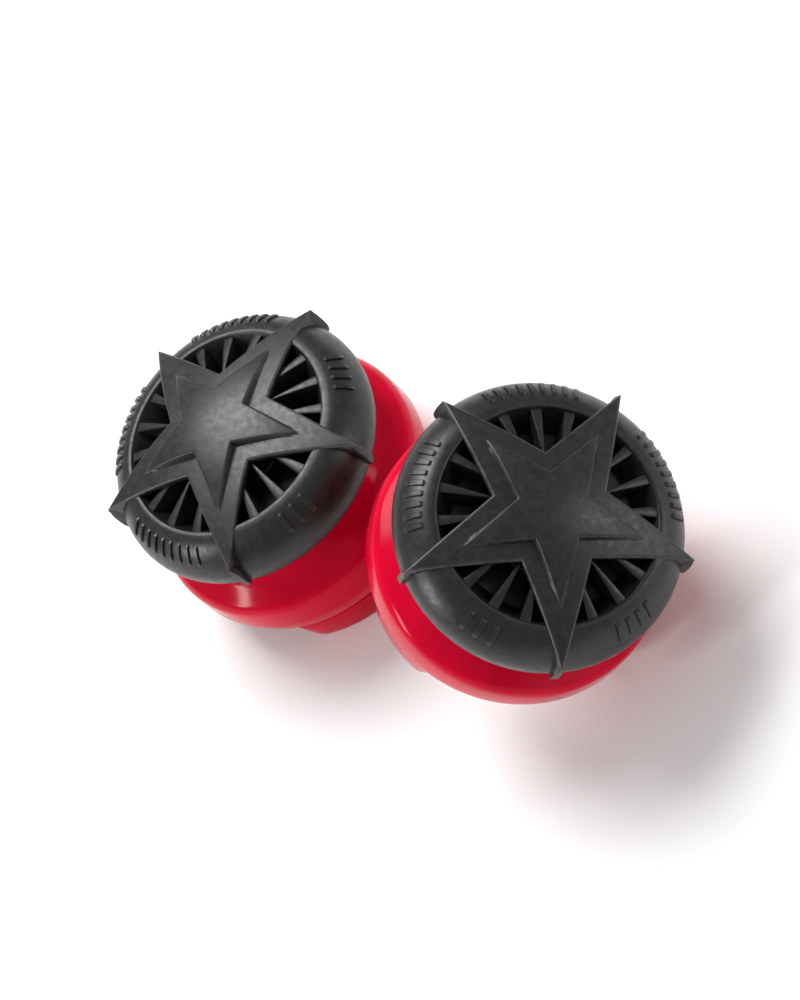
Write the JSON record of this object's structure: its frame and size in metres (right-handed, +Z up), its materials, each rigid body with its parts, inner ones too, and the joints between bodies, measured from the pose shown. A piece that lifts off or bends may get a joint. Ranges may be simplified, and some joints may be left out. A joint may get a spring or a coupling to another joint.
{
  "type": "pair of thumbstick grips",
  "caption": "Pair of push-fit thumbstick grips: a rubber head with a raised star tread over a finned bowl, on a red flared plastic base with a socket and flexing clip fingers.",
  "frame": {"origin": "centre of the left grip's seat, the roof of its socket, where a stick's top rests", "axes": "+Z up along the left grip's axis, from its socket towards its star; +X from the left grip's foot towards the right grip's foot"},
  "size_m": [0.0627, 0.0314, 0.0304],
  "materials": {
    "red_plastic": "glossy moulded",
    "cap_rubber": "matte moulded",
    "star_rubber": "matte moulded, worn edges"
  },
  "bodies": {
    "left_grip": {"left_base": "red_plastic", "left_tread_cap": "cap_rubber", "left_star": "star_rubber"},
    "left_clip_1_body": {"left_clip_1": "red_plastic"},
    "left_clip_2_body": {"left_clip_2": "red_plastic"},
    "left_clip_3_body": {"left_clip_3": "red_plastic"},
    "right_grip": {"right_base": "red_plastic", "right_tread_cap": "cap_rubber", "right_star": "star_rubber"},
    "right_clip_1_body": {"right_clip_1": "red_plastic"},
    "right_clip_2_body": {"right_clip_2": "red_plastic"},
    "right_clip_3_body": {"right_clip_3": "red_plastic"}
  },
  "joints": [
    {"name": "left_clip_1_flex", "type": "hinge", "parent": "left_grip", "child": "left_clip_1_body", "pos_m": [-0.01055, -0.00312, -0.0036], "axis": [-0.284, 0.9588, 0], "range_deg": [0, 12], "stiffness_Nm_per_rad": 0.05},
    {"name": "left_clip_2_flex", "type": "hinge", "parent": "left_grip", "child": "left_clip_2_body", "pos_m": [0.00798, -0.00757, -0.0036], "axis": [-0.6884, -0.7254, 0], "range_deg": [0, 12], "stiffness_Nm_per_rad": 0.05},
    {"name": "left_clip_3_flex", "type": "hinge", "parent": "left_grip", "child": "left_clip_3_body", "pos_m": [0.00257, 0.0107, -0.0036], "axis": [0.9724, -0.2334, 0], "range_deg": [0, 12], "stiffness_Nm_per_rad": 0.05},
    {"name": "right_clip_1_flex", "type": "hinge", "parent": "right_grip", "child": "right_clip_1_body", "pos_m": [0.02436, 0.00992, 0.00599], "axis": [0.5385, 0.5495, -0.6388], "range_deg": [0, 12], "stiffness_Nm_per_rad": 0.05},
    {"name": "right_clip_2_flex", "type": "hinge", "parent": "right_grip", "child": "right_clip_2_body", "pos_m": [0.02814, -0.00863, 0.00813], "axis": [-0.737, 0.4241, 0.5262], "range_deg": [0, 12], "stiffness_Nm_per_rad": 0.05},
    {"name": "right_clip_3_flex", "type": "hinge", "parent": "right_grip", "child": "right_clip_3_body", "pos_m": [0.03841, 0.00183, -0.00404], "axis": [0.1985, -0.9736, 0.1126], "range_deg": [0, 12], "stiffness_Nm_per_rad": 0.05},
    {"name": "right_grip_lift", "type": "slide", "parent": "left_grip", "child": "right_grip", "axis": [0, 0, 1], "range_m": [0, 0.06]}
  ]
}
